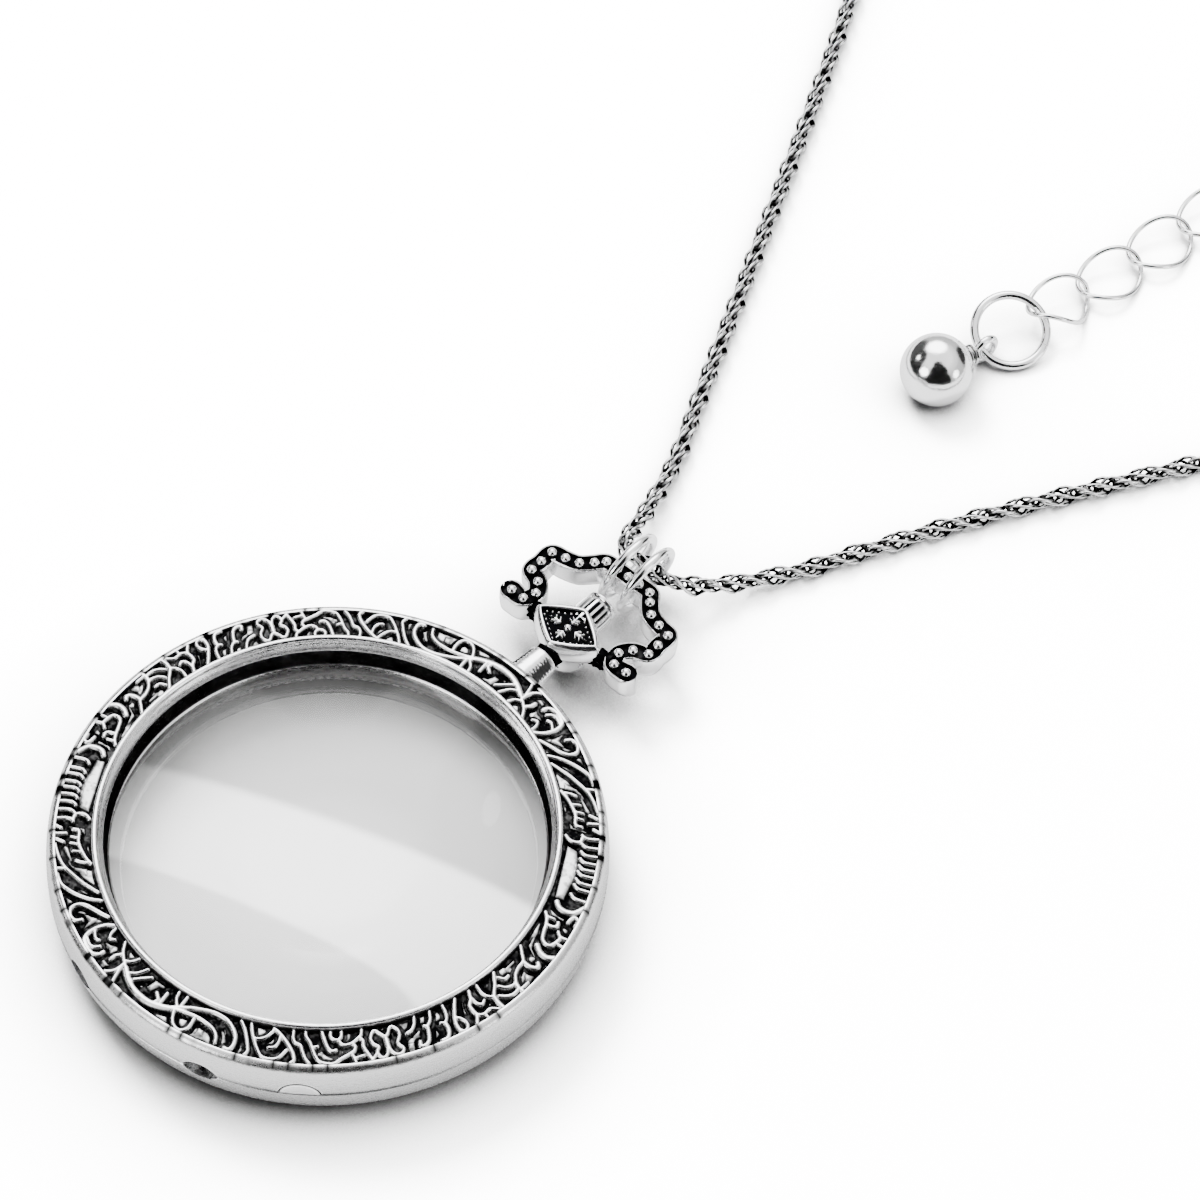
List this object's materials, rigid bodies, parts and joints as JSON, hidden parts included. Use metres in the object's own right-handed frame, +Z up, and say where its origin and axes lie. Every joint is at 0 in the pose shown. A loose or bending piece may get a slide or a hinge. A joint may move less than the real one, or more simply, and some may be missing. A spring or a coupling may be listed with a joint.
{
  "type": "magnifier pendant necklace",
  "caption": "Necklace with a round magnifying lens in a case with a raised scroll border, an ornate bow and a rope chain with an extender.",
  "frame": {"origin": "centre of the laid-out necklace's bounding box, on the surface it lies on", "axes": "+Z up from the surface it lies on, +Y away from the picture's viewer, +X to the viewer's right"},
  "size_m": [0.1899, 0.2131, 0.0088],
  "materials": {
    "oxidised_silver": "polished silver plate with blackened recesses",
    "bright_silver": "polished silver plate",
    "lens_glass": "clear polished"
  },
  "bodies": {
    "root": {"front_bezel": "oxidised_silver", "back_case": "oxidised_silver", "lens": "lens_glass", "bow": "oxidised_silver", "jump_ring_left": "bright_silver", "jump_ring_right": "bright_silver", "chain_left": "bright_silver", "chain_right": "bright_silver", "cap_left": "bright_silver", "cap_right": "bright_silver", "ball_drop": "bright_silver", "end_ring": "bright_silver", "link_1": "bright_silver", "link_2": "bright_silver", "link_3": "bright_silver", "link_4": "bright_silver", "link_5": "bright_silver", "link_6": "bright_silver", "closing_ring": "bright_silver", "lobster_clasp": "bright_silver", "clasp_ring": "bright_silver"}
  },
  "joints": []
}
